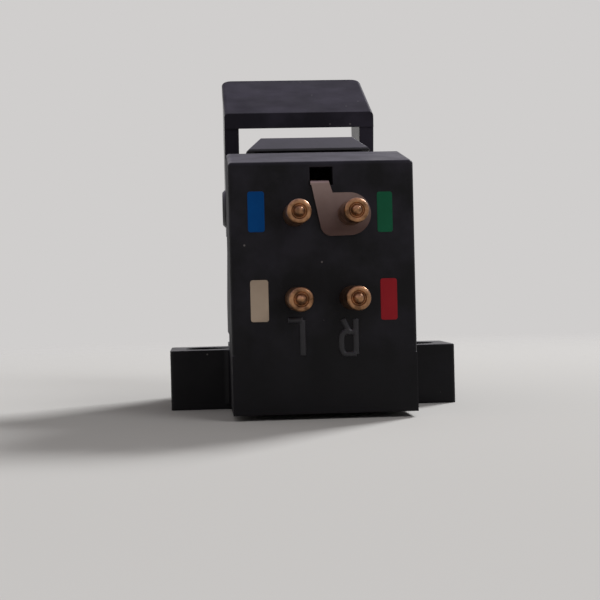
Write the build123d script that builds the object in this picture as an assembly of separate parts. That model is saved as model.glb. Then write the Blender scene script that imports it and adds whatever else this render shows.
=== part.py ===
"""Half-inch-mount phono cartridge with a pull-out stylus assembly and a flip guard.

Frame, in millimetres: the cartridge lies stylus side up on its mounting face.
+X is to the right seen from the terminals, +Y runs forward to the stylus, +Z is away from the headshell.
The origin is midway between the two screw holes, on the mounting face.
"""
import os
from math import cos, radians, sin

from build123d import *

# Fits, and how far a cutting shape reaches past what it cuts
slide_gap = 0.12
swing_gap = 0.10
running_gap = 0.05
seat_gap = 0.02
overcut = 1.0

# Mounting flange: two screw ears in one slab, proud of the body's underside
body_stand = 0.3
screw_spacing = 12.7
screw_hole_r = 1.35
ear_span = 17.2
ear_depth = 5.5
ear_height = 3.55
ear_root_r = 0.35
ear_edge_r = 0.25

# Rear terminal block: its stylus side slopes up to a crest and then runs level
block_width = 10.1
block_rear_y = -11.0
block_depth = 8.0
block_rear_height = 14.0
crest_depth = 5.0
crest_rise = 0.97
block_edge_r = 0.22
block_rear_wall = 1.4

# Terminal pins
pin_r = 0.65
pin_column = 1.49
pin_row_drop = 2.88
pin_row_spacing = 4.55
pin_reach = 4.2
pin_tail = 1.0
pin_neck_r = 0.45
pin_nub_r = 0.36
pin_nub_length = 0.35
pin_nub_chamfer = 0.2
pin_chamfer = 0.18

# Earth strap from the shield can, through a slot, to the right return pin
strap_thickness = 0.25
strap_slot_drop = 0.30
strap_slot_height = 1.0
strap_slot_half = 0.63
strap_leg_width = 0.98
strap_eye_r = 1.16
strap_heel_r = 0.6
strap_heel_in = 1.0
strap_heel_drop = 0.58
strap_bend_r = 0.18
strap_tab_length = 2.1

# Narrow core in front of the block, with the pit that holds the generator
core_height = 15.28
core_wall = 0.48
core_front_y = 5.9
pit_floor = 1.7
pit_front_wall = 0.75
pit_rear_gap = 0.3
rear_room_roof = 1.6

# Nose that carries the stylus holder, and the brow along the mounting face
nose_front_y = 10.2
nose_height = 11.1
brow_height = 3.5
brow_edge_r = 0.4

# Stylus suspension: the pivot's place, the tilt, and lengths along the cantilever
pivot_y = 3.3
pivot_drop = 0.7
tilt_deg = 19.0
cantilever_reach = 6.1
cantilever_r = 0.25
cantilever_bore_r = 0.17
sleeve_r = 0.95
sleeve_bore_r = 0.75
sleeve_rear = 3.0
sleeve_front = 1.9
damper_thickness = 0.8
damper_hole_r = 0.14
damper_gap = 0.05
anchor_length = 0.6
anchor_rear = 2.2
wire_r = 0.07
wire_play = 0.04
wire_front = 0.45
carrier_r = 0.42
carrier_length = 1.5
magnet_side = 0.34
magnet_length = 1.1
magnet_start = 0.35
magnet_offset = 0.40
magnet_angle = 45
tip_base_r = 0.17
tip_length = 0.55
tip_end_r = 0.02
tip_setback = 0.25

# Generator: two upright laminated cores, each with two wound bobbins
core_plate_x = 1.55
core_plate = 0.6
leg_width = 0.6
leg_rear_y = 0.9
leg_spare = 0.6
yoke_height = 0.7
bobbin_tube_r = 0.54
bobbin_flange_r = 0.95
bobbin_flange = 0.25
bobbin_space = 0.4
bobbin_seat = 0.1
coil_margin = 0.05
pole_drop = 0.35
pole_length = 2.15
pole_width = 0.5
pole_gap = 0.5

# Shield can round the coils, and the frame that sets the poles and the stylus socket
can_wall = 0.17
can_end_gap = 0.4
can_headroom = 0.5
frame_drop = 0.10
frame_height = 3.8
frame_gap = 0.10
socket_gap = 0.10
socket_depth = 2.85

# Stylus holder
plate_overhang = 0.5
plate_taper = 0.95
plate_height = 0.95
plate_rear_run = 1.4
plate_rear_lip = 0.15
plate_rear_gap = 0.3
plate_front_y = 5.2
plate_edge_r = 0.2
wall_thickness = 0.5
wall_rear_y = 3.0
brow_gap = 0.7
nose_gap = 0.3
front_wall = 0.9
shoulder_front_y = 4.5
wing_rise = 6.3
wing_front_rise = 1.7
nose_floor = 0.7
nose_floor_gap = 0.7
nose_floor_fall = 1.4
saddle_half = 0.8
holder_edge_r = 0.35
grip_count = 4
grip_pitch = 0.85
grip_groove = 0.35
grip_depth = 0.15
grip_drop = 1.1

# Stylus guard, shut over the stylus
guard_arm = 0.93
guard_plate = 1.0
guard_pivot_y = 7.7
guard_pivot_drop = 2.68
guard_eye_r = 1.9
guard_near_y = 4.8
guard_near_rise = 3.37
guard_far_y = 12.6
guard_far_rise = 6.74
guard_arm_depth = 5.0
guard_edge_r = 0.7
guard_lip_r = 0.25
trunnion_r = 1.25
trunnion_stand = 0.2
trunnion_chamfer = 0.15

# Places worked out from the sizes above, from the mounting face upwards
block_front_y = block_rear_y + block_depth
crest_y = block_rear_y + crest_depth
crest_height = block_rear_height + crest_rise
ear_front_y = ear_depth / 2
pin_high_row = block_rear_height - pin_row_drop
pin_low_row = pin_high_row - pin_row_spacing
slot_top = block_rear_height - strap_slot_drop
slot_low = slot_top - strap_slot_height

# The generator, from the bobbins outwards
leg_spacing = 2 * bobbin_flange_r + bobbin_space
can_half = core_plate_x + bobbin_flange_r + running_gap + can_wall
can_rear_y = leg_rear_y - bobbin_flange_r - can_end_gap - can_wall
can_front_y = leg_rear_y + leg_spacing + bobbin_flange_r + can_end_gap + can_wall
can_low = pit_floor + running_gap
frame_top = core_height - frame_drop
frame_low = frame_top - frame_height
can_top = frame_low - frame_gap
yoke_low = can_low + can_wall + running_gap
yoke_top = yoke_low + yoke_height
leg_top = can_top - can_headroom
bobbin_low = yoke_top + bobbin_seat
bobbin_length = leg_top - leg_spare - bobbin_low
pole_top = core_height - pole_drop
pole_low = pole_top - pole_length
frame_rear_y = can_rear_y + can_wall + frame_gap

# The core's walls round the generator
pit_half = can_half + running_gap
pit_rear_y = block_front_y + pit_rear_gap
pit_front_y = core_front_y - pit_front_wall
core_half = pit_half + core_wall
socket_half = sleeve_r + socket_gap
socket_floor = core_height - socket_depth

# The stylus assembly on the core and the nose
pivot_z = core_height - pivot_drop
tilt = radians(tilt_deg)
tip_y = pivot_y + cantilever_reach * cos(tilt)
tip_z = pivot_z + cantilever_reach * sin(tilt)
cantilever_axis = Plane(origin=(0, pivot_y, pivot_z), x_dir=(1, 0, 0), z_dir=(0, cos(tilt), sin(tilt)))
pole_y = pivot_y + (magnet_start + magnet_length / 2) * cos(tilt)
wall_inner = core_half + slide_gap
wall_outer = wall_inner + wall_thickness
plate_half = core_half + plate_overhang
plate_low = core_height + slide_gap
plate_top = plate_low + plate_height
plate_rear_y = block_front_y + plate_rear_gap
holder_front_y = nose_front_y + nose_gap + front_wall
holder_low = brow_height + brow_gap
nose_floor_front = nose_height + nose_floor_gap + nose_floor
nose_floor_rear = nose_floor_front + nose_floor_fall

# The guard beside the holder's walls
arm_inner = wall_outer + swing_gap
guard_half = arm_inner + guard_arm
guard_pivot_z = core_height - guard_pivot_drop
guard_near_z = core_height + guard_near_rise
guard_far_z = core_height + guard_far_rise
guard_slope = (guard_far_z - guard_near_z) / (guard_far_y - guard_near_y)


def span(x, y, z):
    """A block between two places along each axis."""
    size = [high - low for low, high in (x, y, z)]
    middle = [(low + high) / 2 for low, high in (x, y, z)]
    return Pos(*middle) * Box(*size)


def side_profile(points, x_low, x_high):
    """A profile of (y, z) points, extruded across the cartridge."""
    face = Plane.YZ.offset(x_low) * Polygon(*points, align=None)
    return extrude(face, x_high - x_low, dir=(1, 0, 0))


def end_profile(face, y_low, y_high):
    """A face drawn in (x, z), extruded along the cartridge."""
    return extrude(Plane.XZ.offset(-y_low) * face, y_high - y_low, dir=(0, 1, 0))


def cross_cylinder(radius, x_low, x_high, y, z):
    """A cylinder whose axis runs across the cartridge."""
    return Pos((x_low + x_high) / 2, y, z) * Rot(0, 90, 0) * Cylinder(radius, x_high - x_low)


def along_cylinder(radius, y_low, y_high, x, z):
    """A cylinder whose axis runs along the cartridge."""
    return Pos(x, (y_low + y_high) / 2, z) * Rot(90, 0, 0) * Cylinder(radius, y_high - y_low)


def on_cantilever(radius, low, high):
    """A cylinder on the cantilever's axis, between two distances from the pivot."""
    return cantilever_axis * Pos(0, 0, (low + high) / 2) * Cylinder(radius, high - low)


def pin_places():
    """Each terminal's place on the rear face."""
    return {
        "pin_left_signal": (-pin_column, pin_low_row),
        "pin_left_return": (-pin_column, pin_high_row),
        "pin_right_signal": (pin_column, pin_low_row),
        "pin_right_return": (pin_column, pin_high_row),
    }


def make_flange():
    """The slab of the two screw ears, with a round root where each leaves the block."""
    slab = Rectangle(ear_span, ear_depth)
    block_length = ear_front_y - block_rear_y
    plan = slab + Pos(0, ear_front_y - block_length / 2) * Rectangle(block_width, block_length)
    corners = plan.vertices().filter_by(lambda v: v.Y > block_rear_y + seat_gap)
    roots = corners.filter_by(lambda v: v.Y < 0).sort_by(lambda v: abs(v.X))[:2]
    plan = fillet(roots, ear_root_r)
    ends = plan.vertices().sort_by(lambda v: abs(v.X))[-4:]
    plan = fillet(ends, ear_edge_r)
    flange = extrude(plan, ear_height)
    behind = (block_rear_y - overcut, -ear_front_y)
    return flange - span((-block_width, block_width), behind, (-overcut, body_stand))


def make_block():
    """The terminal block with its sloping crest and softened rear edges."""
    outline = [
        (block_rear_y, body_stand),
        (block_front_y, body_stand),
        (block_front_y, crest_height),
        (crest_y, crest_height),
        (block_rear_y, block_rear_height),
    ]
    block = side_profile(outline, -block_width / 2, block_width / 2)
    rear_edges = block.faces().sort_by(Axis.Y)[0].edges()
    crest_edges = block.faces().sort_by(Axis.Z)[-2:].edges().filter_by(Axis.X, reverse=True)
    return fillet(rear_edges + crest_edges, block_edge_r)


def make_body_shell():
    """Terminal block, ears, core, nose and brow, moulded as one piece."""
    core_side = [
        (block_front_y, body_stand),
        (nose_front_y, body_stand),
        (nose_front_y, nose_height),
        (core_front_y, nose_height),
        (core_front_y, core_height),
        (block_front_y, core_height),
    ]
    core = side_profile(core_side, -core_half, core_half)
    brow = span((-guard_half, guard_half), (0, holder_front_y), (body_stand, brow_height))
    brow = fillet(brow.faces().sort_by(Axis.Y)[-1].edges().filter_by(Axis.Z), brow_edge_r)
    shell = make_block() + make_flange() + core + brow

    pit_x = (-pit_half, pit_half)
    rear_room = (block_rear_y + block_rear_wall, pit_front_y)
    shell -= span(pit_x, rear_room, (pit_floor, block_rear_height - rear_room_roof))
    shell -= span(pit_x, (pit_rear_y, pit_front_y), (pit_floor, core_height + overcut))
    socket_y = (pit_rear_y, core_front_y + overcut)
    shell -= span((-socket_half, socket_half), socket_y, (socket_floor, core_height + overcut))

    slot_y = (block_rear_y - overcut, pit_rear_y + overcut)
    shell -= span((-strap_slot_half, strap_slot_half), slot_y, (slot_low, slot_top))
    for x, z in pin_places().values():
        hole_y = (block_rear_y - overcut, block_rear_y + block_rear_wall + overcut)
        shell -= along_cylinder(pin_neck_r + seat_gap / 2, *hole_y, x, z)
    for side in (-1, 1):
        hole = Cylinder(screw_hole_r, 2 * (ear_height + overcut))
        shell -= Pos(side * screw_spacing / 2, 0, 0) * hole
    return shell


def make_pin(x, z, seat):
    """A turned terminal: a neck through the rear wall, a shaft seated on it and a small nub at the end.

    seat is how far the shaft's shoulder stands off the rear face.
    """
    tail = block_rear_wall + pin_tail
    nub_start = pin_reach - pin_nub_length
    half_section = [
        (0, -tail),
        (pin_neck_r, -tail),
        (pin_neck_r, seat),
        (pin_r, seat),
        (pin_r, nub_start - pin_chamfer),
        (pin_r - pin_chamfer, nub_start),
        (pin_nub_r, nub_start),
        (pin_nub_r, pin_reach - pin_nub_chamfer),
        (pin_nub_r - pin_nub_chamfer, pin_reach),
        (0, pin_reach),
    ]
    turned = revolve(Plane.XZ * Polygon(*half_section, align=None), Axis.Z)
    return Pos(x, block_rear_y, z) * Rot(90, 0, 0) * turned


def make_ground_strap():
    """Sheet strip: an eye under the right return pin, a leg through the slot and a tab on the can."""
    left = seat_gap - strap_slot_half
    right = left + strap_leg_width
    bend_low = slot_low + seat_gap
    bend_top = bend_low + strap_thickness
    outer_y = block_rear_y - strap_thickness
    eye = Pos(pin_column, pin_high_row) * Circle(strap_eye_r)
    heel = Pos(pin_column - strap_heel_in, pin_high_row - strap_heel_drop) * Circle(strap_heel_r)
    top_edge = Line((left, bend_top), (right, bend_top))
    eye_top = pin_high_row + strap_eye_r
    shoulder = Line((right, eye_top), (pin_column, eye_top))
    sheet = make_hull(eye.edges() + heel.edges()) + make_hull(heel.edges() + top_edge.edges())
    sheet += make_hull(eye.edges() + shoulder.edges())
    sheet -= Pos(pin_column, pin_high_row) * Circle(pin_neck_r + seat_gap)
    face = end_profile(sheet, outer_y, block_rear_y)
    leg = span((left, right), (outer_y, can_rear_y), (bend_low, bend_top))
    tab_y = (can_rear_y - strap_thickness, can_rear_y)
    tab = span((left, right), tab_y, (can_top - strap_tab_length, bend_top))
    strap = face + leg + tab
    bend = strap.edges().filter_by(Axis.X).group_by(Axis.Z)[-1].sort_by(Axis.Y)[0]
    return fillet(bend, strap_bend_r)


def make_shield_can():
    """Drawn can, open towards the stylus, round the coils."""
    outer = span((-can_half, can_half), (can_rear_y, can_front_y), (can_low, can_top))
    room_x = (can_wall - can_half, can_half - can_wall)
    room_y = (can_rear_y + can_wall, can_front_y - can_wall)
    return outer - span(room_x, room_y, (can_low + can_wall, can_top + overcut))


def core_outline():
    """The (y, z) outline of one core: a yoke, two legs and two poles that lean to the magnets."""
    rear = (leg_rear_y - leg_width / 2, leg_rear_y + leg_width / 2)
    front = (rear[0] + leg_spacing, rear[1] + leg_spacing)
    pole_rear = (pole_y - pole_gap / 2 - pole_width, pole_y - pole_gap / 2)
    pole_front = (pole_y + pole_gap / 2, pole_y + pole_gap / 2 + pole_width)
    return [
        (rear[0], yoke_low),
        (front[1], yoke_low),
        (front[1], leg_top),
        (pole_front[1], pole_low),
        (pole_front[1], pole_top),
        (pole_front[0], pole_top),
        (pole_front[0], pole_low),
        (front[0], leg_top),
        (front[0], yoke_top),
        (rear[1], yoke_top),
        (rear[1], leg_top),
        (pole_rear[1], pole_low),
        (pole_rear[1], pole_top),
        (pole_rear[0], pole_top),
        (pole_rear[0], pole_low),
        (rear[0], leg_top),
    ]


def make_core(side):
    """One channel's core plate, cut from sheet."""
    middle = side * core_plate_x
    return side_profile(core_outline(), middle - core_plate / 2, middle + core_plate / 2)


def make_bobbin(side, leg):
    """A moulded spool with a square hole for the core's leg."""
    x, y = side * core_plate_x, leg_rear_y + leg * leg_spacing
    spool = Pos(0, 0, bobbin_length / 2) * Cylinder(bobbin_tube_r, bobbin_length)
    flange = Pos(0, 0, bobbin_flange / 2) * Cylinder(bobbin_flange_r, bobbin_flange)
    spool += flange + Pos(0, 0, bobbin_length - bobbin_flange) * flange
    spool -= Box(core_plate + 2 * seat_gap, leg_width + 2 * seat_gap, 2 * (bobbin_length + overcut))
    return Pos(x, y, bobbin_low) * spool


def make_coil(side, leg):
    """The winding between a bobbin's flanges."""
    x, y = side * core_plate_x, leg_rear_y + leg * leg_spacing
    length = bobbin_length - 2 * bobbin_flange - 2 * seat_gap
    winding = Cylinder(bobbin_flange_r - coil_margin, length)
    winding -= Cylinder(bobbin_tube_r + seat_gap, length + overcut)
    return Pos(x, y, bobbin_low + bobbin_length / 2) * winding


def make_generator_frame():
    """Moulded block that sets the four poles and leaves the socket for the sleeve."""
    front_y = pit_front_y - running_gap
    block = span((-can_half, can_half), (frame_rear_y, front_y), (frame_low, frame_top))
    socket_y = (frame_rear_y - overcut, front_y + overcut)
    block -= span((-socket_half, socket_half), socket_y, (socket_floor, frame_top + overcut))
    for side in (-1, 1):
        middle = side * core_plate_x
        half_slot = core_plate / 2 + seat_gap
        block -= side_profile(core_outline(), middle - half_slot, middle + half_slot)
    return block


def make_hump():
    """The holder's low plate over the core, with its sloping sides and rear."""
    section = Polygon(
        (-plate_half, plate_low),
        (plate_half, plate_low),
        (plate_half - plate_taper, plate_top),
        (plate_taper - plate_half, plate_top),
        align=None,
    )
    hump = end_profile(section, plate_rear_y, plate_front_y)
    above = plate_top + overcut
    behind_slope = [
        (plate_rear_y - overcut, plate_low + plate_rear_lip),
        (plate_rear_y, plate_low + plate_rear_lip),
        (plate_rear_y + plate_rear_run, plate_top),
        (plate_rear_y + plate_rear_run, above),
        (plate_rear_y - overcut, above),
    ]
    hump -= side_profile(behind_slope, -plate_half - overcut, plate_half + overcut)
    rear_top = hump.faces().sort_by(Axis.Z)[-1].edges().sort_by(Axis.Y)[0]
    return fillet(rear_top, plate_edge_r)


def make_holder_side(side):
    """One side wall of the holder, with its wing below the guard's arm and its trunnion."""
    wall_points = [
        (wall_rear_y, holder_low),
        (holder_front_y, holder_low),
        (holder_front_y, nose_floor_front),
        (plate_front_y + plate_height, plate_low + seat_gap),
        (wall_rear_y, plate_low + seat_gap),
    ]
    wing_points = [
        (wall_rear_y, holder_low),
        (holder_front_y, holder_low),
        (holder_front_y, holder_low + wing_front_rise),
        (shoulder_front_y, holder_low + wing_rise),
        (shoulder_front_y, plate_low),
        (wall_rear_y, plate_low),
    ]
    panel = side_profile(wall_points, *sorted((side * wall_inner, side * wall_outer)))
    panel += side_profile(wing_points, *sorted((side * wall_outer, side * guard_half)))
    stub_x = sorted((side * wall_inner, side * (guard_half + trunnion_stand)))
    trunnion = cross_cylinder(trunnion_r, *stub_x, guard_pivot_y, guard_pivot_z)
    outer_edge = trunnion.edges().sort_by(lambda edge: abs(edge.center().X))[-1]
    return panel + chamfer(outer_edge, trunnion_chamfer)


def make_stylus_holder():
    """Moulded shell that slides over the nose: hump, sides, ribbed front wall, floor and saddle."""
    holder = make_hump() + make_holder_side(-1) + make_holder_side(1)
    front_y = (holder_front_y - front_wall, holder_front_y)
    holder += span((-wall_outer, wall_outer), front_y, (holder_low, nose_floor_front))
    floor_points = [
        (core_front_y + slide_gap, nose_floor_rear - nose_floor),
        (holder_front_y, nose_floor_front - nose_floor),
        (holder_front_y, nose_floor_front),
        (core_front_y + slide_gap, nose_floor_rear),
    ]
    holder += side_profile(floor_points, -wall_outer, wall_outer)
    front_edges = holder.faces().sort_by(Axis.Y)[-1].edges()
    holder = fillet(front_edges.filter_by(Axis.Z), holder_edge_r)
    groove_y = (holder_front_y - grip_depth, holder_front_y + overcut)
    for row in range(grip_count):
        groove_top = nose_floor_front - grip_drop - row * grip_pitch
        holder -= span((-guard_half, guard_half), groove_y, (groove_top - grip_groove, groove_top))

    saddle_rear = pivot_y - (sleeve_rear - anchor_length) * cos(tilt)
    saddle = span((-saddle_half, saddle_half), (saddle_rear, plate_front_y), (pivot_z, plate_low))
    below_axis = Pos(0, 2 * sleeve_r, 0) * Box(4 * sleeve_r, 4 * sleeve_r, 4 * (sleeve_rear + sleeve_front))
    holder += saddle - cantilever_axis * below_axis
    return holder - on_cantilever(sleeve_r, -2 * sleeve_rear, 2 * sleeve_front)


def make_sleeve():
    """Brass tube that carries the suspension and plugs into the socket."""
    tube = on_cantilever(sleeve_r, -sleeve_rear, sleeve_front)
    return tube - on_cantilever(sleeve_bore_r, -sleeve_rear - overcut, sleeve_front + overcut)


def make_anchor_plug():
    """Brass plug that grips the suspension wire at the back of the sleeve."""
    rear, front = -anchor_rear, anchor_length - anchor_rear
    plug = on_cantilever(sleeve_bore_r - seat_gap / 2, rear, front)
    return plug - on_cantilever(wire_r + seat_gap / 2, rear - overcut, front + overcut)


def make_damper():
    """Rubber ring that the cantilever leans on, just behind the pivot."""
    ring = on_cantilever(sleeve_bore_r - seat_gap / 2, -damper_thickness, -damper_gap)
    return ring - on_cantilever(damper_hole_r, -damper_thickness - overcut, overcut)


def make_tension_wire():
    """Fine steel wire through the damper, from the anchor into the cantilever's end."""
    return on_cantilever(wire_r, -anchor_rear, wire_front)


def magnet_bar(side, clearance):
    """A bar along the cantilever, set out to one side, with an even clearance all round."""
    bar = Box(magnet_side + clearance, magnet_side + clearance, magnet_length + clearance)
    middle = magnet_start + magnet_length / 2
    return cantilever_axis * Rot(0, 0, -side * magnet_angle) * Pos(0, magnet_offset, middle) * bar


def make_magnet_carrier():
    """Small moulded hub on the cantilever's end, with a seat for each magnet."""
    hub = on_cantilever(carrier_r, 0, carrier_length)
    hub -= on_cantilever(cantilever_r + seat_gap / 2, wire_front, carrier_length + overcut)
    hub -= on_cantilever(wire_r + wire_play, -overcut, carrier_length + overcut)
    for side in (-1, 1):
        hub -= magnet_bar(side, seat_gap)
    return hub


def make_cantilever():
    """Thin aluminium tube, crimped solid where the tip is set."""
    crimp_start = cantilever_reach - tip_setback - 2 * tip_base_r
    tube = on_cantilever(cantilever_r, wire_front + seat_gap, cantilever_reach)
    tube -= on_cantilever(cantilever_bore_r, wire_front - overcut, crimp_start)
    for side in (-1, 1):
        tube -= magnet_bar(side, seat_gap)
    return tube


def make_stylus_tip():
    """Diamond: a cone to the groove point, seated on the cantilever's end."""
    base = tip_z - tip_setback * sin(tilt) + cantilever_r / cos(tilt)
    cone = Cone(tip_base_r, tip_end_r, tip_length, align=(Align.CENTER, Align.CENTER, Align.MIN))
    foot = Cylinder(tip_base_r, cantilever_r, align=(Align.CENTER, Align.CENTER, Align.MAX))
    seat = on_cantilever(cantilever_r + seat_gap / 4, 0, cantilever_reach + overcut)
    return Pos(0, tip_y - tip_setback * cos(tilt), base) * (cone + foot) - seat


def make_stylus_guard():
    """Flip guard: a sloping plate between two arms that turn on the holder's trunnions."""
    drop = guard_plate * (1 + guard_slope**2) ** 0.5
    plate_points = [
        (guard_near_y, guard_near_z - guard_plate),
        (guard_near_y, guard_near_z),
        (guard_far_y, guard_far_z),
        (guard_far_y, guard_far_z - drop),
        (guard_near_y + guard_plate, guard_near_z - drop + guard_plate * guard_slope),
    ]
    arm_points = [
        (guard_pivot_y - guard_eye_r, guard_pivot_z),
        (guard_pivot_y + guard_eye_r, guard_pivot_z),
        (guard_near_y + guard_arm_depth, guard_near_z + guard_arm_depth * guard_slope - drop / 2),
        (guard_near_y, guard_near_z - drop / 2),
    ]
    guard = side_profile(plate_points, -guard_half, guard_half)
    for side in (-1, 1):
        arm_x = sorted((side * arm_inner, side * guard_half))
        guard += side_profile(arm_points, *arm_x)
        guard += cross_cylinder(guard_eye_r, *arm_x, guard_pivot_y, guard_pivot_z)
    bore_half = guard_half + overcut
    guard -= cross_cylinder(trunnion_r + running_gap, -bore_half, bore_half, guard_pivot_y, guard_pivot_z)
    side_edges = guard.faces().sort_by(Axis.Z)[-1].edges().filter_by(Axis.X, reverse=True)
    guard = fillet(side_edges, guard_edge_r)
    far_edges = guard.faces().sort_by(Axis.Y)[-1].edges().filter_by(Axis.X)
    return fillet(far_edges, guard_lip_r)


def build():
    """Every piece of the cartridge by its name."""
    parts = {"body_shell": make_body_shell(), "ground_strap": make_ground_strap()}
    for name, (x, z) in pin_places().items():
        under_strap = name == "pin_right_return"
        parts[name] = make_pin(x, z, strap_thickness if under_strap else 0)
    parts["shield_can"] = make_shield_can()
    parts["generator_frame"] = make_generator_frame()
    for channel, side in (("left", -1), ("right", 1)):
        parts[f"core_{channel}"] = make_core(side)
        for place, leg in (("rear", 0), ("front", 1)):
            parts[f"bobbin_{channel}_{place}"] = make_bobbin(side, leg)
            parts[f"coil_{channel}_{place}"] = make_coil(side, leg)
        parts[f"magnet_{channel}"] = magnet_bar(side, 0)
    parts["stylus_holder"] = make_stylus_holder()
    parts["sleeve"] = make_sleeve()
    parts["anchor_plug"] = make_anchor_plug()
    parts["damper_ring"] = make_damper()
    parts["tension_wire"] = make_tension_wire()
    parts["magnet_carrier"] = make_magnet_carrier()
    parts["cantilever"] = make_cantilever()
    parts["stylus_tip"] = make_stylus_tip()
    parts["stylus_guard"] = make_stylus_guard()
    return parts


os.makedirs("parts", exist_ok=True)
for node, shape in build().items():
    export_step(shape, f"parts/{node}.step")
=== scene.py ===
# %% [markdown]
# A phono cartridge is the small black block at the end of a record player's arm. It is seen here from
# behind, lying on its mounting face: gold pins, colour fields, an earth strap and, at the top, the
# guard that covers the stylus. The moulded and turned solids come in as a fixed frame. This lesson
# gives them their finishes, and adds the paint, the raised letters and the turned ends of the pins.

# %% Load the frame
import math

import bmesh
import bpy
from mathutils import Matrix, Vector


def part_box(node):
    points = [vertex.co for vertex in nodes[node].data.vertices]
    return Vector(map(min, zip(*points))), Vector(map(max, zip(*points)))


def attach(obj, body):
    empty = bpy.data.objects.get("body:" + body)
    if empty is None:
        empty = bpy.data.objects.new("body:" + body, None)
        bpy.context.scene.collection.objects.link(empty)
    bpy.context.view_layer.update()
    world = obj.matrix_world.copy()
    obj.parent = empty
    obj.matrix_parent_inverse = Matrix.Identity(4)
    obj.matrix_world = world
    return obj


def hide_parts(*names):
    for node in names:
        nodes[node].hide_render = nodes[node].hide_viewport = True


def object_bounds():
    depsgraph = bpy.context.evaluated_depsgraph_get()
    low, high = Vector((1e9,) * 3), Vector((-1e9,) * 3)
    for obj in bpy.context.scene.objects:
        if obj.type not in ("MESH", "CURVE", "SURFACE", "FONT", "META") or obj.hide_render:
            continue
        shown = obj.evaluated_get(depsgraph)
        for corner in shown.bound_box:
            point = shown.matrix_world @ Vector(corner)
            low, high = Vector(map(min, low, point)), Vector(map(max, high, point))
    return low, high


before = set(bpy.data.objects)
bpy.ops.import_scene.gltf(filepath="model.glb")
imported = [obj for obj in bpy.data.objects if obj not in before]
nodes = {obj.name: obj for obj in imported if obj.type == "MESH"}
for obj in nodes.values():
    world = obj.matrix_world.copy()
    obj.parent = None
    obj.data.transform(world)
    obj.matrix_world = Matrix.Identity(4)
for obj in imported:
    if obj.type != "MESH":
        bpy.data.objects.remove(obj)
cad_low, cad_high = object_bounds()
MM = 0.001
print("frame:", len(nodes), "nodes, size in mm:", [round(v / MM, 2) for v in cad_high - cad_low])

# %% [markdown]
# Colours are chosen as sRGB hex values, as a paint chart gives them, but a shader works in linear
# light. One function does that change. Another adds a node, sets its options and fills its sockets,
# so that each material below reads as a short recipe.


# %% Colour and node helpers
def linear(hex_colour):
    """An sRGB hex colour as linear red, green, blue and alpha."""
    channels = [int(hex_colour[i:i + 2], 16) / 255 for i in (1, 3, 5)]
    return [c / 12.92 if c <= 0.04045 else ((c + 0.055) / 1.055) ** 2.4 for c in channels] + [1.0]


def add_node(tree, kind, inputs=None, **settings):
    """Adds a node, sets its options, and fills sockets with values or with other nodes' outputs."""
    node = tree.nodes.new(kind)
    for name, value in settings.items():
        setattr(node, name, value)
    for socket, value in (inputs or {}).items():
        if isinstance(value, bpy.types.NodeSocket):
            tree.links.new(value, node.inputs[socket])
        else:
            node.inputs[socket].default_value = value
    return node


def start_material(name):
    """An empty material: its node tree, and the Object coordinates that its patterns read."""
    material = bpy.data.materials.new(name)
    material.use_nodes = True
    tree = material.node_tree
    tree.nodes.clear()
    place = add_node(tree, "ShaderNodeTexCoord").outputs["Object"]
    return material, tree, place


def end_material(tree, inputs):
    """Closes a material with one shader and the output."""
    shader = add_node(tree, "ShaderNodeBsdfPrincipled", inputs)
    add_node(tree, "ShaderNodeOutputMaterial", {"Surface": shader.outputs["BSDF"]})


def dress(material, *names):
    """Gives CAD nodes a material of their own in place of the plain one."""
    for name in names:
        slots = nodes[name].data.materials
        slots.clear()
        slots.append(material)
    print(material.name, "on", ", ".join(names))


print("mid grey in linear light:", round(linear("#808080")[0], 3))

# %% [markdown]
# The body, the stylus holder and the guard are ABS moulded in steel. Black ABS gives the eye two
# things: almost no colour when faced squarely, and a pale, faintly violet sheen when seen along its
# surface. The sheen is left to the shader, except on the guard. Years of handling leave a patchy film.
# The film also thins towards the mounting face, which is painted shade: the plastic darkens low down.
# A painted picture could carry the film, but it would have to be unwrapped and would blur up close.
# Noise on Object coordinates needs neither, and moves with its piece.

# %% Film left by handling, and painted shade low down
FILM_MM = 2.6
SHADE_DEEPEST_BELOW_MM = 1.0
SHADE_GONE_ABOVE_MM = 8.0
FILM_IN_DEEPEST_SHADE = 0.15


def film_and_painted_shade(tree, place, deep, film):
    """The plastic's colour: a patchy film, thinned towards the bottom as painted shade."""
    haze = add_node(tree, "ShaderNodeTexNoise", {
        "Vector": place, "Scale": 1 / (FILM_MM * MM), "Detail": 5.0})
    patch = add_node(tree, "ShaderNodeMapRange", {
        "Value": haze.outputs["Fac"], "From Min": 0.42, "From Max": 0.64})
    height = add_node(tree, "ShaderNodeSeparateXYZ", {0: place})
    # Painted shade: less film towards the mounting face, so the plastic is darker low down.
    shade_by_height = add_node(tree, "ShaderNodeMapRange", {
        "Value": height.outputs["Z"], "From Min": SHADE_DEEPEST_BELOW_MM * MM, "From Max": SHADE_GONE_ABOVE_MM * MM,
        "To Min": FILM_IN_DEEPEST_SHADE}, interpolation_type="SMOOTHSTEP")
    cover = add_node(tree, "ShaderNodeMath", {
        0: patch.outputs["Result"], 1: shade_by_height.outputs["Result"]}, operation="MULTIPLY")
    filmed = add_node(tree, "ShaderNodeMix", {
        0: cover.outputs["Value"], 6: linear(deep), 7: linear(film)}, data_type="RGBA")
    return filmed.outputs[2]


print("film in patches of", FILM_MM, "mm, densest above", SHADE_GONE_ABOVE_MM, "mm")

# %% [markdown]
# Fingers also leave smears, which change the gloss and not the colour. The finish of the steel isn't
# the same all round either: the sides of the body and the holder come out matt, and the sides of the
# guard's arms polished. A second material on those faces would do, but every moulding would have to
# be split by hand. The direction of each face finds its sides without that.

# %% Gloss of the faces
SMEAR_MM = 1.6
SMEAR_POLISH = 0.05
SMEAR_HAZE = 0.08
SIDE_FROM = 0.80
SIDE_FULL = 0.95


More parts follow.
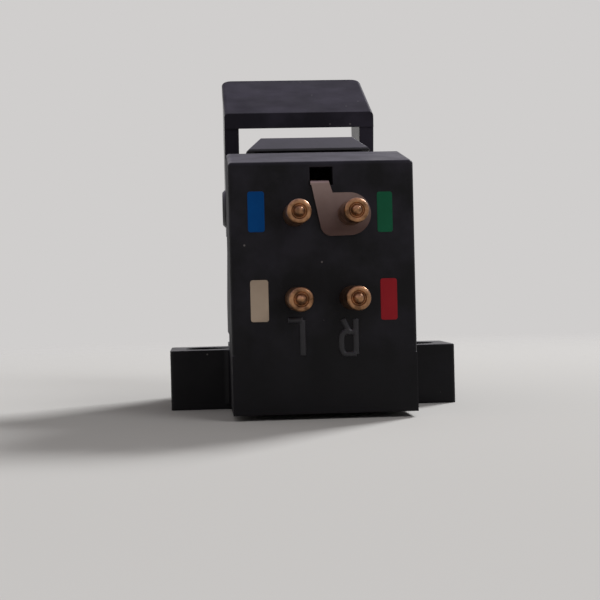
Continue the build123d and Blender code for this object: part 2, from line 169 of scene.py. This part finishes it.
def moulded_gloss(tree, place, roughness, side_change):
    """The plastic's roughness: smears all over, and a change on the faces that look sideways."""
    smear = add_node(tree, "ShaderNodeTexNoise", {
        "Vector": place, "Scale": 1 / (SMEAR_MM * MM), "Detail": 4.0})
    gloss = add_node(tree, "ShaderNodeMapRange", {
        "Value": smear.outputs["Fac"], "From Min": 0.35, "From Max": 0.7,
        "To Min": roughness - SMEAR_POLISH, "To Max": roughness + SMEAR_HAZE})
    true_face = add_node(tree, "ShaderNodeNewGeometry")
    facing = add_node(tree, "ShaderNodeSeparateXYZ", {0: true_face.outputs["True Normal"]})
    sideways = add_node(tree, "ShaderNodeMath", {0: facing.outputs["X"]}, operation="ABSOLUTE")
    change = add_node(tree, "ShaderNodeMapRange", {
        "Value": sideways.outputs["Value"], "From Min": SIDE_FROM, "From Max": SIDE_FULL,
        "To Max": side_change})
    finish = add_node(tree, "ShaderNodeMath", {
        0: gloss.outputs["Result"], 1: change.outputs["Result"]}, operation="ADD")
    return finish.outputs["Value"]


print("smears of", SMEAR_MM, "mm move the roughness by", SMEAR_POLISH, "down and", SMEAR_HAZE, "up")

# %% [markdown]
# Edges are rubbed to a paler tone, and dust settles and stays. Fine round edges could be cut into every
# solid, but the solids come fixed. A bevel node softens the shading there instead, and where its
# direction parts from the true one, the plastic counts as rubbed. The dust could be loose grains, but
# thousands of them would weigh the model down. Voronoi cells, most of them left empty, give a small
# round speck in each of the others.

# %% Rubbed edges and dust
RUBBED_EDGE_MM = 0.10
EDGE_FROM = 0.99
EDGE_FULL = 0.80
EDGE_RUB = 0.6
DUST = "#8f8b8a"
DUST_MM = 0.7
SPECK_RIM = 0.10
SPECK_CORE = 0.05
SPECK_COVER = 0.6


def rubbed_edge(tree, soft_normal):
    """How far an edge is rubbed, by how far the softened direction parts from the true one."""
    true_face = add_node(tree, "ShaderNodeNewGeometry")
    bend = add_node(tree, "ShaderNodeVectorMath", {
        0: soft_normal, 1: true_face.outputs["True Normal"]}, operation="DOT_PRODUCT")
    rubbed = add_node(tree, "ShaderNodeMapRange", {
        "Value": bend.outputs["Value"], "From Min": EDGE_FROM, "From Max": EDGE_FULL, "To Max": EDGE_RUB})
    return rubbed.outputs["Result"]


def settled_dust(tree, place, share):
    """How far dust hides the plastic: a round speck in this share of the cells."""
    cells = add_node(tree, "ShaderNodeTexVoronoi", {"Vector": place, "Scale": 1 / (DUST_MM * MM)})
    speck = add_node(tree, "ShaderNodeMapRange", {
        "Value": cells.outputs["Distance"], "From Min": SPECK_RIM, "From Max": SPECK_CORE,
        "To Max": SPECK_COVER})
    chance = add_node(tree, "ShaderNodeSeparateColor", {0: cells.outputs["Color"]})
    chosen = add_node(tree, "ShaderNodeMath", {
        0: chance.outputs[0], 1: 1 - share}, operation="GREATER_THAN")
    dust = add_node(tree, "ShaderNodeMath", {
        0: speck.outputs["Result"], 1: chosen.outputs["Value"]}, operation="MULTIPLY")
    return dust.outputs["Value"]


print("edges rubbed over", RUBBED_EDGE_MM, "mm, dust in cells of", DUST_MM, "mm")

# %% [markdown]
# Film, gloss, edges and dust make one recipe, with a fine grain from the mould on top. One material
# for every moulding would be simpler, but the guard is coloured a faintly violet grey where the body
# is almost black: painted sheen for the pale reflection seen along it, with its specular nearly off.
# The holder is shinier than either. So the recipe is used five times: for those three, for the frame
# inside, and for the letters, which stand out of the rear face and are a little paler.

# %% Black ABS
GRAIN_MM = 0.09
GRAIN_DEPTH_MM = 0.005


def black_abs(name, deep, film, worn, roughness, specular, dusty, side_change):
    """Moulded black ABS. A side_change above zero makes its sides matt, and one below polishes them."""
    material, tree, place = start_material(name)
    soft_edge = add_node(tree, "ShaderNodeBevel", {"Radius": RUBBED_EDGE_MM * MM}, samples=6)
    soft_normal = soft_edge.outputs["Normal"]
    plastic = add_node(tree, "ShaderNodeMix", {
        0: rubbed_edge(tree, soft_normal), 6: film_and_painted_shade(tree, place, deep, film), 7: linear(worn)},
        data_type="RGBA")
    colour = add_node(tree, "ShaderNodeMix", {
        0: settled_dust(tree, place, dusty), 6: plastic.outputs[2], 7: linear(DUST)}, data_type="RGBA")
    grain = add_node(tree, "ShaderNodeTexNoise", {
        "Vector": place, "Scale": 1 / (GRAIN_MM * MM), "Detail": 2.0})
    surface = add_node(tree, "ShaderNodeBump", {
        "Height": grain.outputs["Fac"], "Strength": 0.35, "Distance": GRAIN_DEPTH_MM * MM,
        "Normal": soft_normal})
    end_material(tree, {
        "Base Color": colour.outputs[2], "Roughness": moulded_gloss(tree, place, roughness, side_change),
        "IOR": 1.5, "Specular IOR Level": specular, "Normal": surface.outputs["Normal"]})
    return material


body_abs = black_abs("black_abs_body", "#09080b", "#222027", "#39363b",
                     roughness=0.38, specular=0.16, dusty=0.12, side_change=0.25)
holder_abs = black_abs("black_abs_holder", "#100f13", "#1f1d23", "#3d3a40",
                       roughness=0.44, specular=0.52, dusty=0.10, side_change=0.25)
# Painted sheen: the guard's grey colour stands in for the pale reflection seen along it.
guard_abs_painted_sheen = black_abs("black_abs_guard_painted_sheen", "#2c2a31", "#393640", "#48454d",
                      roughness=0.38, specular=0.018, dusty=0.35, side_change=-0.17)
frame_abs = black_abs("black_abs_inside", "#171618", "#201f22", "#333136",
                      roughness=0.50, specular=0.20, dusty=0.02, side_change=0.0)
letter_abs = black_abs("black_abs_letters", "#1f1e22", "#302e34", "#4c4950",
                       roughness=0.30, specular=0.36, dusty=0.0, side_change=0.0)
dress(body_abs, "body_shell")
dress(holder_abs, "stylus_holder")
dress(guard_abs_painted_sheen, "stylus_guard")
dress(frame_abs, "generator_frame")

# %% [markdown]
# The pins are brass, turned on an automatic lathe and flashed with gold, which wears to a browner tone
# where lead clips have been pushed on. Turning also leaves rings. A pattern of rings would need the
# axis of every pin, so the grooves are cut in the mesh further down, and the material varies the tone
# and the polish and adds fine scratches. The metals inside use the same recipe in tones of their own.

# %% Metals
SCRATCH_MM = 0.05
SCRATCH_DEPTH_MM = 0.004
SCRATCH_STRETCH = (1.0, 0.15, 1.0)
WORN_HAZE = 0.18


def worn_metal(name, bright, dull, roughness, patch_mm):
    """A metal whose tone and polish vary in soft patches, with fine scratches drawn out along Y."""
    material, tree, place = start_material(name)
    patch = add_node(tree, "ShaderNodeTexNoise", {
        "Vector": place, "Scale": 1 / (patch_mm * MM), "Detail": 5.0, "Roughness": 0.6})
    tone = add_node(tree, "ShaderNodeMapRange", {
        "Value": patch.outputs["Fac"], "From Min": 0.38, "From Max": 0.66})
    colour = add_node(tree, "ShaderNodeMix", {
        0: tone.outputs["Result"], 6: linear(bright), 7: linear(dull)}, data_type="RGBA")
    polish = add_node(tree, "ShaderNodeMapRange", {
        "Value": tone.outputs["Result"], "To Min": roughness, "To Max": roughness + WORN_HAZE})
    along = add_node(tree, "ShaderNodeMapping", {"Vector": place, "Scale": SCRATCH_STRETCH})
    scratch = add_node(tree, "ShaderNodeTexNoise", {
        "Vector": along.outputs["Vector"], "Scale": 1 / (SCRATCH_MM * MM), "Detail": 2.0})
    surface = add_node(tree, "ShaderNodeBump", {
        "Height": scratch.outputs["Fac"], "Strength": 0.15, "Distance": SCRATCH_DEPTH_MM * MM})
    end_material(tree, {
        "Base Color": colour.outputs[2], "Metallic": 1.0, "Roughness": polish.outputs["Result"],
        "Normal": surface.outputs["Normal"]})
    return material


pin_gold = worn_metal("gold_flashed_brass", "#aa7f5c", "#644934", roughness=0.28, patch_mm=0.45)
can_nickel_iron = worn_metal("annealed_nickel_iron", "#9b9a98", "#7c7b7a", roughness=0.40, patch_mm=1.2)
core_nickel_iron = worn_metal("punched_nickel_iron", "#8b8b8d", "#6a6a6d", roughness=0.38, patch_mm=0.8)
sleeve_brass = worn_metal("turned_brass", "#d0ad62", "#9a7a3e", roughness=0.30, patch_mm=0.6)
wire_steel = worn_metal("drawn_steel", "#a9a9ad", "#84848a", roughness=0.30, patch_mm=0.3)
magnet_metal = worn_metal("sintered_magnet", "#6b6b70", "#505056", roughness=0.45, patch_mm=0.3)
cantilever_metal = worn_metal("drawn_aluminium", "#d5d6d8", "#aeb0b4", roughness=0.26, patch_mm=0.5)
pin_nodes = ["pin_left_signal", "pin_left_return", "pin_right_signal", "pin_right_return"]
dress(pin_gold, *pin_nodes)
dress(can_nickel_iron, "shield_can")
dress(core_nickel_iron, "core_left", "core_right")
dress(sleeve_brass, "sleeve", "anchor_plug")
dress(wire_steel, "tension_wire")
dress(magnet_metal, "magnet_left", "magnet_right")
dress(cantilever_metal, "cantilever")

# %% [markdown]
# The earth strap is thin brass strip, tinned before it was stamped. New tin is grey and bright. From
# the slot down to the pin's eye the strap darkens to brown: partly a stain where it was soldered and
# handled, partly painted shade under the pin. The same patchy metal would do, but the slow change of
# tone needs a place on the part: the height on Object coordinates gives it.

# %% Tinned strap
BRIGHT_ABOVE_MM = 12.9
SHADED_BROWN_BELOW_MM = 10.3
TIN_PATCH_MM = 1.1
ROLL_MARK_MM = 0.12
ROLL_DEPTH_MM = 0.006

strap_tin, tree, place = start_material("tinned_strap")
patch = add_node(tree, "ShaderNodeTexNoise", {
    "Vector": place, "Scale": 1 / (TIN_PATCH_MM * MM), "Detail": 5.0})
tin = add_node(tree, "ShaderNodeMix", {
    0: patch.outputs["Fac"], 6: linear("#93807a"), 7: linear("#77665e")}, data_type="RGBA")
stain_and_shade = add_node(tree, "ShaderNodeMix", {
    0: patch.outputs["Fac"], 6: linear("#5d4a45"), 7: linear("#42342f")}, data_type="RGBA")
# Painted shade with the stain: the strap goes darker brown towards the pin's eye.
height = add_node(tree, "ShaderNodeSeparateXYZ", {0: place})
brown_and_shade_below = add_node(tree, "ShaderNodeMapRange", {
    "Value": height.outputs["Z"], "From Min": BRIGHT_ABOVE_MM * MM, "From Max": SHADED_BROWN_BELOW_MM * MM})
colour = add_node(tree, "ShaderNodeMix", {
    0: brown_and_shade_below.outputs["Result"], 6: tin.outputs[2], 7: stain_and_shade.outputs[2]}, data_type="RGBA")
rolled = add_node(tree, "ShaderNodeTexNoise", {
    "Vector": place, "Scale": 1 / (ROLL_MARK_MM * MM), "Detail": 3.0})
surface = add_node(tree, "ShaderNodeBump", {
    "Height": rolled.outputs["Fac"], "Strength": 0.2, "Distance": ROLL_DEPTH_MM * MM})
end_material(tree, {
    "Base Color": colour.outputs[2], "Metallic": 1.0, "Roughness": 0.46,
    "Normal": surface.outputs["Normal"]})
dress(strap_tin, "ground_strap")

# %% [markdown]
# Inside the pit are pieces that only a cut-away or the pulled-out stylus shows. Four bobbins are wound
# with enamelled copper finer than a hair. Modelled wire would need thousands of turns, so a wave
# texture draws bands across each coil and lifts them a little. Each band is painted dark in the valley
# between turns, as painted shade, and pale on the crest, as painted highlight. At the wire's true
# 0.03 mm they would blur into one tone, so they are drawn at about 0.12 mm.

# %% Copper windings
TURN_MM = 0.12
TURN_DEPTH_MM = 0.02
# A wave texture of scale s repeats about every 1 / (pi s).
TURN_SCALE = 1 / (math.pi * TURN_MM * MM)
coil_nodes = [name for name in nodes if name.startswith("coil_")]

copper, tree, place = start_material("enamelled_copper")
turns = add_node(tree, "ShaderNodeTexWave", {
    "Vector": place, "Scale": TURN_SCALE, "Distortion": 0.6},
    wave_type="BANDS", bands_direction="Z", wave_profile="SIN")
# Painted shade and highlight: dark copper in the valleys between turns, pale on the crests.
tone = add_node(tree, "ShaderNodeMix", {
    0: turns.outputs["Fac"], 6: linear("#5a2814"), 7: linear("#b5642f")}, data_type="RGBA")
ridges = add_node(tree, "ShaderNodeBump", {
    "Height": turns.outputs["Fac"], "Strength": 0.6, "Distance": TURN_DEPTH_MM * MM})
end_material(tree, {
    "Base Color": tone.outputs[2], "Metallic": 0.8, "Roughness": 0.32,
    "Normal": ridges.outputs["Normal"]})
dress(copper, *coil_nodes)

# %% [markdown]
# The other pieces inside are nylon, rubber and a diamond. Nylon and rubber are both matt, with a fine
# grain and a faint drift of colour, so one recipe serves them. The diamond is clear. A plain glass
# shader would do, but it goes black where nothing bright stands behind it, so this one lets only part
# of the light through and keeps a pale surface.

# %% Nylon, rubber and diamond
DRIFT_MM = 1.1
MATT_DEPTH_MM = 0.005
FLAW_MM = 0.2
bobbin_nodes = [name for name in nodes if name.startswith("bobbin_")]


def soft_moulding(name, one, two, roughness, grain_mm):
    """A matt moulded finish with a fine grain and a faint drift of colour."""
    material, tree, place = start_material(name)
    drift = add_node(tree, "ShaderNodeTexNoise", {
        "Vector": place, "Scale": 1 / (DRIFT_MM * MM), "Detail": 3.0})
    colour = add_node(tree, "ShaderNodeMix", {
        0: drift.outputs["Fac"], 6: linear(one), 7: linear(two)}, data_type="RGBA")
    grain = add_node(tree, "ShaderNodeTexNoise", {
        "Vector": place, "Scale": 1 / (grain_mm * MM), "Detail": 2.0})
    surface = add_node(tree, "ShaderNodeBump", {
        "Height": grain.outputs["Fac"], "Strength": 0.3, "Distance": MATT_DEPTH_MM * MM})
    end_material(tree, {
        "Base Color": colour.outputs[2], "Roughness": roughness, "Normal": surface.outputs["Normal"]})
    return material


bobbin_nylon = soft_moulding("natural_nylon", "#d3cbb8", "#bfb59f", roughness=0.45, grain_mm=0.1)
carrier_nylon = soft_moulding("carrier_nylon", "#c9c8c4", "#b4b2ad", roughness=0.45, grain_mm=0.08)
damper_rubber = soft_moulding("damper_rubber", "#141414", "#222122", roughness=0.75, grain_mm=0.06)
dress(bobbin_nylon, *bobbin_nodes)
dress(carrier_nylon, "magnet_carrier")
dress(damper_rubber, "damper_ring")

diamond, tree, place = start_material("polished_diamond")
flaw = add_node(tree, "ShaderNodeTexNoise", {"Vector": place, "Scale": 1 / (FLAW_MM * MM)})
clarity = add_node(tree, "ShaderNodeMix", {
    0: flaw.outputs["Fac"], 6: linear("#eef1f4"), 7: linear("#d9dfe6")}, data_type="RGBA")
end_material(tree, {
    "Base Color": clarity.outputs[2], "Roughness": 0.05, "IOR": 2.4, "Transmission Weight": 0.6})
dress(diamond, "stylus_tip")

# %% [markdown]
# Four dabs of enamel by the pins tell the wires apart. Enamel dries to a faintly wavy skin that dulls
# with the years, and it covers less well in some places than in others. A flat colour would look
# printed, so one noise varies the tone and a finer one lifts the skin.

# %% Enamel
COVER_MM = 0.6
SKIN_MM = 0.18
SKIN_DEPTH_MM = 0.008


def enamel(name, bright, deep):
    """Dulled enamel: a faintly wavy skin, and a deeper colour in places."""
    material, tree, place = start_material(name)
    cover = add_node(tree, "ShaderNodeTexNoise", {
        "Vector": place, "Scale": 1 / (COVER_MM * MM), "Detail": 4.0})
    colour = add_node(tree, "ShaderNodeMix", {
        0: cover.outputs["Fac"], 6: linear(bright), 7: linear(deep)}, data_type="RGBA")
    skin = add_node(tree, "ShaderNodeTexNoise", {
        "Vector": place, "Scale": 1 / (SKIN_MM * MM), "Detail": 2.0})
    surface = add_node(tree, "ShaderNodeBump", {
        "Height": skin.outputs["Fac"], "Strength": 0.25, "Distance": SKIN_DEPTH_MM * MM})
    end_material(tree, {
        "Base Color": colour.outputs[2], "Roughness": 0.55, "Specular IOR Level": 0.09,
        "Normal": surface.outputs["Normal"]})
    return material


print("enamel skin waves of", SKIN_MM, "mm")

# %% [markdown]
# White and blue mark the left channel, red and green the right. The dabs are stamped on the flat rear
# face, so they have a little thickness and round corners. A patch of colour in the body's own material
# would be quicker, but it would have no edge to catch the light. Each dab is a bmesh cube scaled to
# its size and sunk a little into the face. One bevel rounds its corners, and a smaller one rounds the
# edge that faces out.

# %% Colour fields
FIELD_THICK_MM = 0.03
FIELD_SINK_MM = 0.01
FIELD_CORNER_MM = 0.14
FIELD_EDGE_MM = 0.018
NEARLY_STRAIGHT = 0.9
# Middle across and up, width, height, and the two tones of the enamel.
FIELDS = {
    "field_blue": (-3.58, 11.33, 0.91, 2.20, "#004a8c", "#004280"),
    "field_green": (3.43, 11.20, 0.84, 2.20, "#1b6144", "#17563b"),
    "field_cream": (-3.50, 6.50, 0.98, 2.27, "#c6b39f", "#b9a793"),
    "field_red": (3.55, 6.45, 0.91, 2.26, "#9e242c", "#8f2028"),
}
rear_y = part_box("body_shell")[0].y


def finish_piece(name, mesh_builder, material, body):
    """Turns a bmesh into an object at the origin that rides on a body."""
    mesh = bpy.data.meshes.new(name)
    mesh_builder.to_mesh(mesh)
    mesh_builder.free()
    piece = bpy.data.objects.new(name, mesh)
    bpy.context.scene.collection.objects.link(piece)
    mesh.materials.append(material)
    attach(piece, body)
    return piece


def stamped_dab(x, z, width, height):
    """A thin block on the rear face with round corners and a round outer edge."""
    dab = bmesh.new()
    bmesh.ops.create_cube(dab, size=1.0)
    size = Vector((width, FIELD_THICK_MM + FIELD_SINK_MM, height)) * MM
    bmesh.ops.scale(dab, vec=size, verts=dab.verts)
    runs = {edge: (edge.verts[0].co - edge.verts[1].co).normalized() for edge in dab.edges}
    corners = [edge for edge, run in runs.items() if abs(run.y) > NEARLY_STRAIGHT]
    bmesh.ops.bevel(dab, geom=corners, offset=FIELD_CORNER_MM * MM, segments=5, profile=0.5,
                    affect="EDGES", material=-1)
    outer = [edge for edge in dab.edges if all(v.co.y < 0 for v in edge.verts)]
    bmesh.ops.bevel(dab, geom=outer, offset=FIELD_EDGE_MM * MM, segments=2, profile=0.5,
                    affect="EDGES", material=-1)
    middle = Vector((x * MM, rear_y - (FIELD_THICK_MM - FIELD_SINK_MM) * MM / 2, z * MM))
    bmesh.ops.translate(dab, vec=middle, verts=dab.verts)
    return dab


for name, (x, z, width, height, bright, deep) in FIELDS.items():
    paint = enamel(name.replace("field_", "enamel_"), bright, deep)
    piece = finish_piece(name, stamped_dab(x, z, width, height), paint, "cartridge")
    print(name, len(piece.data.polygons), "faces")

# %% [markdown]
# Below the lower pins the moulding carries the two channel letters, L and R, as soft round ridges a
# tenth of a millimetre high. They are upside down in this pose, because they are read with the
# cartridge in the arm. Text from a font would give flat strokes with sharp edges, so each letter is
# drawn as its strokes: a curve down the middle of each stroke, given a round section, made a mesh and
# then pressed flat until a tenth stands out of the face.

# %% Raised channel letters
STROKE_R_MM = 0.17
LETTER_PROUD_MM = 0.10
LETTER_LOW_MM = 3.50
LETTER_TOP_MM = 5.42
LETTER_SHARP_DEG = 50
LETTER_MERGE_MM = 0.001
L_STEM_MM = -1.20
L_FOOT_MM = L_STEM_MM - 0.78
R_STEM_MM = 1.70
R_TURN_MM = R_STEM_MM - 0.38
R_BOWL_MM = R_STEM_MM - 0.80
R_WAIST_MM = LETTER_LOW_MM + 1.20
R_LEG_MM = R_STEM_MM - 0.36
R_TOE_MM = R_STEM_MM - 0.70
LETTERS = {
    "letter_left": [
        [(L_STEM_MM, LETTER_LOW_MM), (L_STEM_MM, LETTER_TOP_MM)],
        [(L_STEM_MM, LETTER_TOP_MM), (L_FOOT_MM, LETTER_TOP_MM)],
    ],
    "letter_right": [
        [(R_STEM_MM, LETTER_LOW_MM), (R_STEM_MM, LETTER_TOP_MM)],
        [(R_STEM_MM, LETTER_LOW_MM), (R_TURN_MM, LETTER_LOW_MM), (R_BOWL_MM, LETTER_LOW_MM),
         (R_BOWL_MM, R_WAIST_MM), (R_TURN_MM, R_WAIST_MM), (R_STEM_MM, R_WAIST_MM)],
        [(R_LEG_MM, R_WAIST_MM), (R_TOE_MM, LETTER_TOP_MM)],
    ],
}


def raised_letter(strokes):
    """The strokes as round tubes along smooth curves on the rear face, pressed flat."""
    lines = bpy.data.curves.new("strokes", "CURVE")
    lines.dimensions = "3D"
    lines.bevel_depth = STROKE_R_MM * MM
    lines.bevel_resolution = 5
    lines.use_fill_caps = True
    for points in strokes:
        line = lines.splines.new("NURBS")
        line.points.add(len(points) - 1)
        for point, (x, z) in zip(line.points, points):
            point.co = (x * MM, 0.0, z * MM, 1.0)
        line.order_u = 3
        line.use_endpoint_u = True
    tubes = bpy.data.objects.new("strokes", lines)
    mesh = bpy.data.meshes.new_from_object(tubes)
    bpy.data.objects.remove(tubes)
    letter = bmesh.new()
    letter.from_mesh(mesh)
    bpy.data.meshes.remove(mesh)
    bmesh.ops.remove_doubles(letter, verts=letter.verts, dist=LETTER_MERGE_MM * MM)
    bmesh.ops.recalc_face_normals(letter, faces=letter.faces)
    bmesh.ops.scale(letter, vec=(1.0, LETTER_PROUD_MM / STROKE_R_MM, 1.0), verts=letter.verts)
    bmesh.ops.translate(letter, vec=(0.0, rear_y, 0.0), verts=letter.verts)
    for face in letter.faces:
        face.smooth = True
    return letter


for name, strokes in LETTERS.items():
    piece = finish_piece(name, raised_letter(strokes), letter_abs, "cartridge")
    piece.data.set_sharp_from_angle(angle=math.radians(LETTER_SHARP_DEG))
    print(name, len(strokes), "strokes,", len(piece.data.polygons), "faces")

# %% [markdown]
# The pins catch the eye first, so they are turned again in mesh. The solid could be dressed as it is,
# but it lacks the rolled shoulder, the groove round the nub, the ring halfway and the rounded end. As
# on a lathe, the profile of one half is drawn and spun round the pin's axis. It keeps the solid's
# length and diameter, and only the shoulder stands a few hundredths of a millimetre proud of the
# solid's chamfer.

# %% Turned pins
# Radius and distance from the rear face: nub, groove, shoulder, ring and foot.
PIN_PROFILE_MM = [
    (0.0, 4.20), (0.07, 4.193), (0.13, 4.165), (0.18, 4.12), (0.225, 4.05), (0.265, 3.95), (0.295, 3.84),
    (0.315, 3.77), (0.345, 3.75), (0.37, 3.77), (0.39, 3.81),
    (0.42, 3.83), (0.55, 3.83), (0.60, 3.80), (0.633, 3.74), (0.65, 3.66),
    (0.65, 1.95), (0.642, 1.90), (0.65, 1.85),
    (0.65, 0.34), (0.64, 0.28),
]
FOOT_R_MM = 0.64
NECK_R_MM = 0.45
TAIL_MM = 2.4
STRAP_THICK_MM = 0.25
PIN_SEGMENTS = 48
PIN_MERGE_MM = 0.0005


def turned_pin(x, z, foot_mm):
    """The pin's profile spun once round its axis, from its end to its foot and the tail behind it."""
    pin = bmesh.new()
    seat = [(FOOT_R_MM, foot_mm), (NECK_R_MM, foot_mm), (NECK_R_MM, -TAIL_MM), (0.0, -TAIL_MM)]
    profile = [(r, y) for r, y in PIN_PROFILE_MM if y > foot_mm] + seat
    points = [pin.verts.new((r * MM, -y * MM, 0.0)) for r, y in profile]
    edges = [pin.edges.new(pair) for pair in zip(points, points[1:])]
    bmesh.ops.spin(pin, geom=points + edges, cent=(0, 0, 0), axis=(0, 1, 0), angle=2 * math.pi,
                   steps=PIN_SEGMENTS, use_merge=True)
    bmesh.ops.remove_doubles(pin, verts=pin.verts, dist=PIN_MERGE_MM * MM)
    bmesh.ops.recalc_face_normals(pin, faces=pin.faces)
    for face in pin.faces:
        face.smooth = True
    bmesh.ops.translate(pin, vec=(x, rear_y, z), verts=pin.verts)
    return pin


for name in pin_nodes:
    low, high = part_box(name)
    middle = (low + high) / 2
    foot = STRAP_THICK_MM if name == "pin_right_return" else 0.0
    pin = turned_pin(middle.x, middle.z, foot)
    piece = finish_piece("turned_" + name, pin, pin_gold, "cartridge")
    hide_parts(name)
    print(piece.name, len(piece.data.polygons), "faces")

# %% [markdown]
# The cartridge lies on a pale sheet. A curved backdrop would show its bend from the side, and a plain
# disc its rim, so this sheet is a disc that turns clear with distance, until only the pale room is
# left. It lies a hundredth of a millimetre below the part, so the two never share a plane.

# %% Floor
FLOOR_R_MM = 400
FLOOR_DROP_MM = 0.01
FLOOR_SEGMENTS = 96
FADE_FROM_MM = 30
FADE_TO_MM = 120

floor_mesh = bmesh.new()
bmesh.ops.create_circle(floor_mesh, cap_ends=True, segments=FLOOR_SEGMENTS, radius=FLOOR_R_MM * MM)
bmesh.ops.translate(floor_mesh, vec=(0, 0, cad_low.z - FLOOR_DROP_MM * MM), verts=floor_mesh.verts)
floor_data = bpy.data.meshes.new("floor")
floor_mesh.to_mesh(floor_data)
floor_mesh.free()
floor = bpy.data.objects.new("floor", floor_data)
bpy.context.scene.collection.objects.link(floor)

sheet, tree, place = start_material("pale_sheet")
reach = add_node(tree, "ShaderNodeVectorMath", {0: place}, operation="LENGTH")
fade = add_node(tree, "ShaderNodeMapRange", {
    "Value": reach.outputs["Value"], "From Min": FADE_FROM_MM * MM, "From Max": FADE_TO_MM * MM},
    interpolation_type="SMOOTHSTEP")
paper = add_node(tree, "ShaderNodeBsdfDiffuse", {"Color": linear("#dddcda")})
clear = add_node(tree, "ShaderNodeBsdfTransparent")
sheet_mix = add_node(tree, "ShaderNodeMixShader", {
    0: fade.outputs["Result"], 1: paper.outputs["BSDF"], 2: clear.outputs["BSDF"]})
add_node(tree, "ShaderNodeOutputMaterial", {"Surface": sheet_mix.outputs["Shader"]})
floor_data.materials.append(sheet)
print("floor clear beyond", FADE_TO_MM, "mm")

# %% [markdown]
# A pale room stands behind the part and shows in its glossy faces. If the same room lit everything, the
# black plastic would look grey. So the camera, reflections and clear pieces see the pale room, a
# little more violet higher up, and all other rays get a dimmer grey. Walls round the part could be
# modelled, but then they would light it too. The light path node tells the rays apart.

# %% Room
ROOM = "#d0cecd"
SKY = "#d8d2e6"
SKY_FROM = 0.22
SKY_FULL = 0.5
AMBIENT = "#a09c9b"
AMBIENT_STRENGTH = 0.7

world = bpy.data.worlds.new("pale_room")
bpy.context.scene.world = world
world.use_nodes = True
tree = world.node_tree
tree.nodes.clear()
rays = add_node(tree, "ShaderNodeLightPath")
seen = add_node(tree, "ShaderNodeMath", {
    0: rays.outputs["Is Camera Ray"], 1: rays.outputs["Is Glossy Ray"]}, operation="MAXIMUM")
seen = add_node(tree, "ShaderNodeMath", {
    0: seen.outputs["Value"], 1: rays.outputs["Is Transmission Ray"]}, operation="MAXIMUM")
direction = add_node(tree, "ShaderNodeTexCoord").outputs["Generated"]
rise = add_node(tree, "ShaderNodeSeparateXYZ", {0: direction})
upward = add_node(tree, "ShaderNodeMapRange", {
    "Value": rise.outputs["Z"], "From Min": SKY_FROM, "From Max": SKY_FULL},
    interpolation_type="SMOOTHSTEP")
walls = add_node(tree, "ShaderNodeMix", {
    0: upward.outputs["Result"], 6: linear(ROOM), 7: linear(SKY)}, data_type="RGBA")
room = add_node(tree, "ShaderNodeBackground", {"Color": walls.outputs[2], "Strength": 1.0})
ambient = add_node(tree, "ShaderNodeBackground", {
    "Color": linear(AMBIENT), "Strength": AMBIENT_STRENGTH})
room_mix = add_node(tree, "ShaderNodeMixShader", {
    0: seen.outputs["Value"], 1: ambient.outputs["Background"], 2: room.outputs["Background"]})
add_node(tree, "ShaderNodeOutputWorld", {"Surface": room_mix.outputs["Shader"]})
print("room", ROOM, "as seen,", AMBIENT, "at", AMBIENT_STRENGTH, "as light")

# %% [markdown]
# Two lamps light the part. A window ahead and to the right throws the soft shadow to the left, and a
# broader, weaker desk lamp behind and to the right lifts the rear face. A sun or a spot would need an
# angle or a radius set for soft shadows, while an area lamp is soft by its size, as a window is.


# %% Lamps
def soft_lamp(name, place_mm, size_mm, power):
    """A square area lamp that faces the cartridge."""
    data = bpy.data.lights.new(name, "AREA")
    data.shape = "SQUARE"
    data.size = size_mm * MM
    data.energy = power
    lamp = bpy.data.objects.new(name, data)
    lamp.location = Vector(place_mm) * MM
    aim = (cad_low + cad_high) / 2 - lamp.location
    lamp.rotation_euler = aim.to_track_quat("-Z", "Y").to_euler()
    bpy.context.scene.collection.objects.link(lamp)
    print("lamp:", name, size_mm, "mm wide,", power, "W")


soft_lamp("window", (316, 351, 369), size_mm=150, power=3.0)
soft_lamp("desk", (290, -361, 359), size_mm=200, power=0.5)

# %% [markdown]
# The photograph looks at the rear face from close by. A camera set by eye never quite fits, so the
# corners of the rear face, the ears, the pins and the guard were found in the picture and matched to
# their places in the frame. They give where the camera stood, how it was turned and how far it was
# zoomed.

# %% Camera
PICTURE_PX = 600
FOCAL_PX = 1387
CAMERA_MM = (-6.46, -86.04, 7.19)
YAW_DEG = 3.93
PITCH_DEG = -0.52
ROLL_DEG = 1.35
SENSOR_MM = 36
CLIP_NEAR_MM = 1
CLIP_FAR_MM = 5000

camera_data = bpy.data.cameras.new("camera")
camera_data.sensor_width = SENSOR_MM
camera_data.lens = SENSOR_MM * FOCAL_PX / PICTURE_PX
camera_data.clip_start = CLIP_NEAR_MM * MM
camera_data.clip_end = CLIP_FAR_MM * MM
camera = bpy.data.objects.new("camera", camera_data)
bpy.context.scene.collection.objects.link(camera)
yaw, pitch, roll = [math.radians(angle) for angle in (YAW_DEG, PITCH_DEG, ROLL_DEG)]
forward = Vector((math.sin(yaw) * math.cos(pitch), math.cos(yaw) * math.cos(pitch), math.sin(pitch)))
turn = forward.to_track_quat("-Z", "Y").to_matrix() @ Matrix.Rotation(-roll, 3, "Z")
camera.location = Vector(CAMERA_MM) * MM
camera.rotation_euler = turn.to_euler()
bpy.context.scene.camera = camera
bpy.context.scene.view_settings.view_transform = "Standard"
print("camera:", round(camera_data.lens, 1), "mm lens on a sensor", SENSOR_MM, "mm wide")
